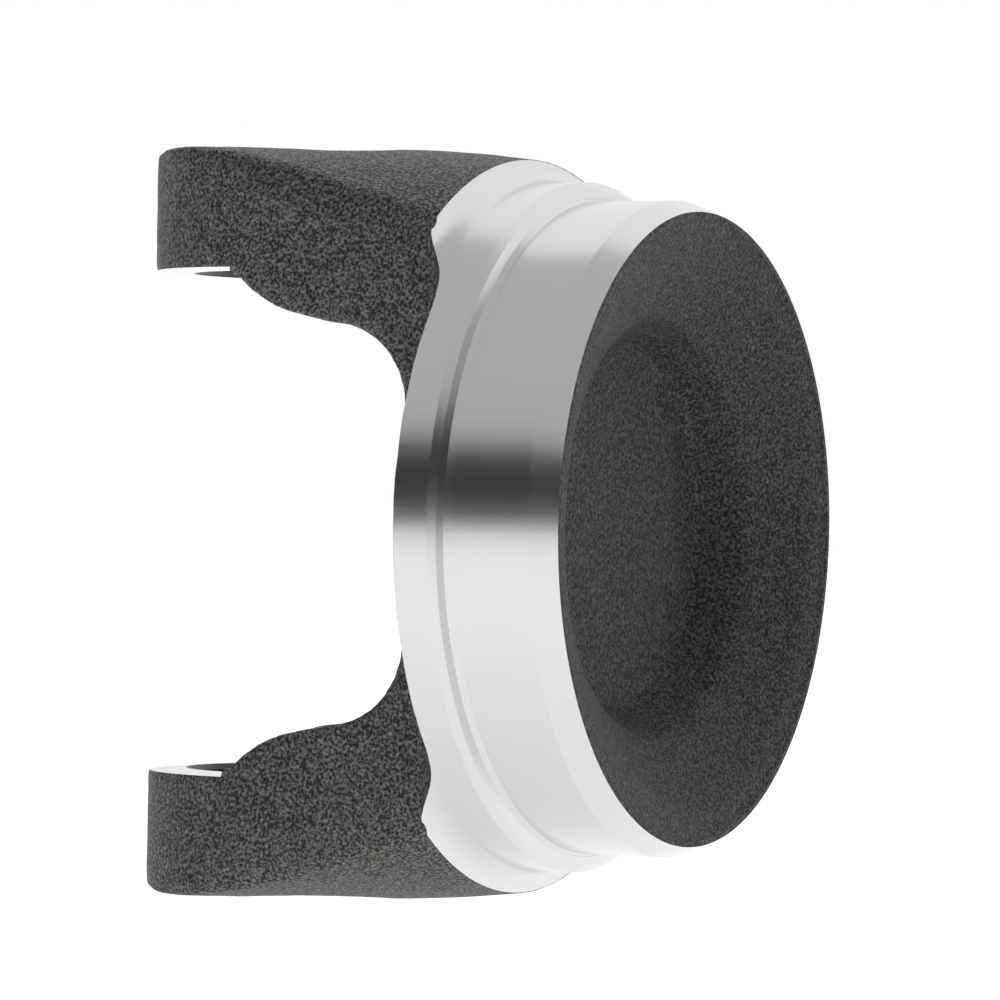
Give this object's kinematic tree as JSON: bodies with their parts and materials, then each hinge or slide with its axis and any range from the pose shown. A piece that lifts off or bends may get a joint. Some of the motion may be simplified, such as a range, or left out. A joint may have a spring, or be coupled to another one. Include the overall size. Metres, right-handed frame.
{
  "type": "weld yoke",
  "caption": "Forged steel yoke that joins a driveshaft tube to a universal joint: lugs with a through bore for the cross and a turned spigot for the tube.",
  "frame": {"origin": "centre of the universal joint's cross: the point where the cross bore's axis meets the shaft's axis", "axes": "+X along the shaft's axis from the lugs towards the tube end, +Z along the cross bore, +Y across the lugs so that the frame is right-handed"},
  "size_m": [0.0635, 0.0762, 0.084],
  "materials": {
    "steel": "forged steel, dark and grainy on the arms, turned bright on the tube end, faced inside the lugs"
  },
  "bodies": {
    "root": {"yoke": "steel"}
  },
  "joints": []
}
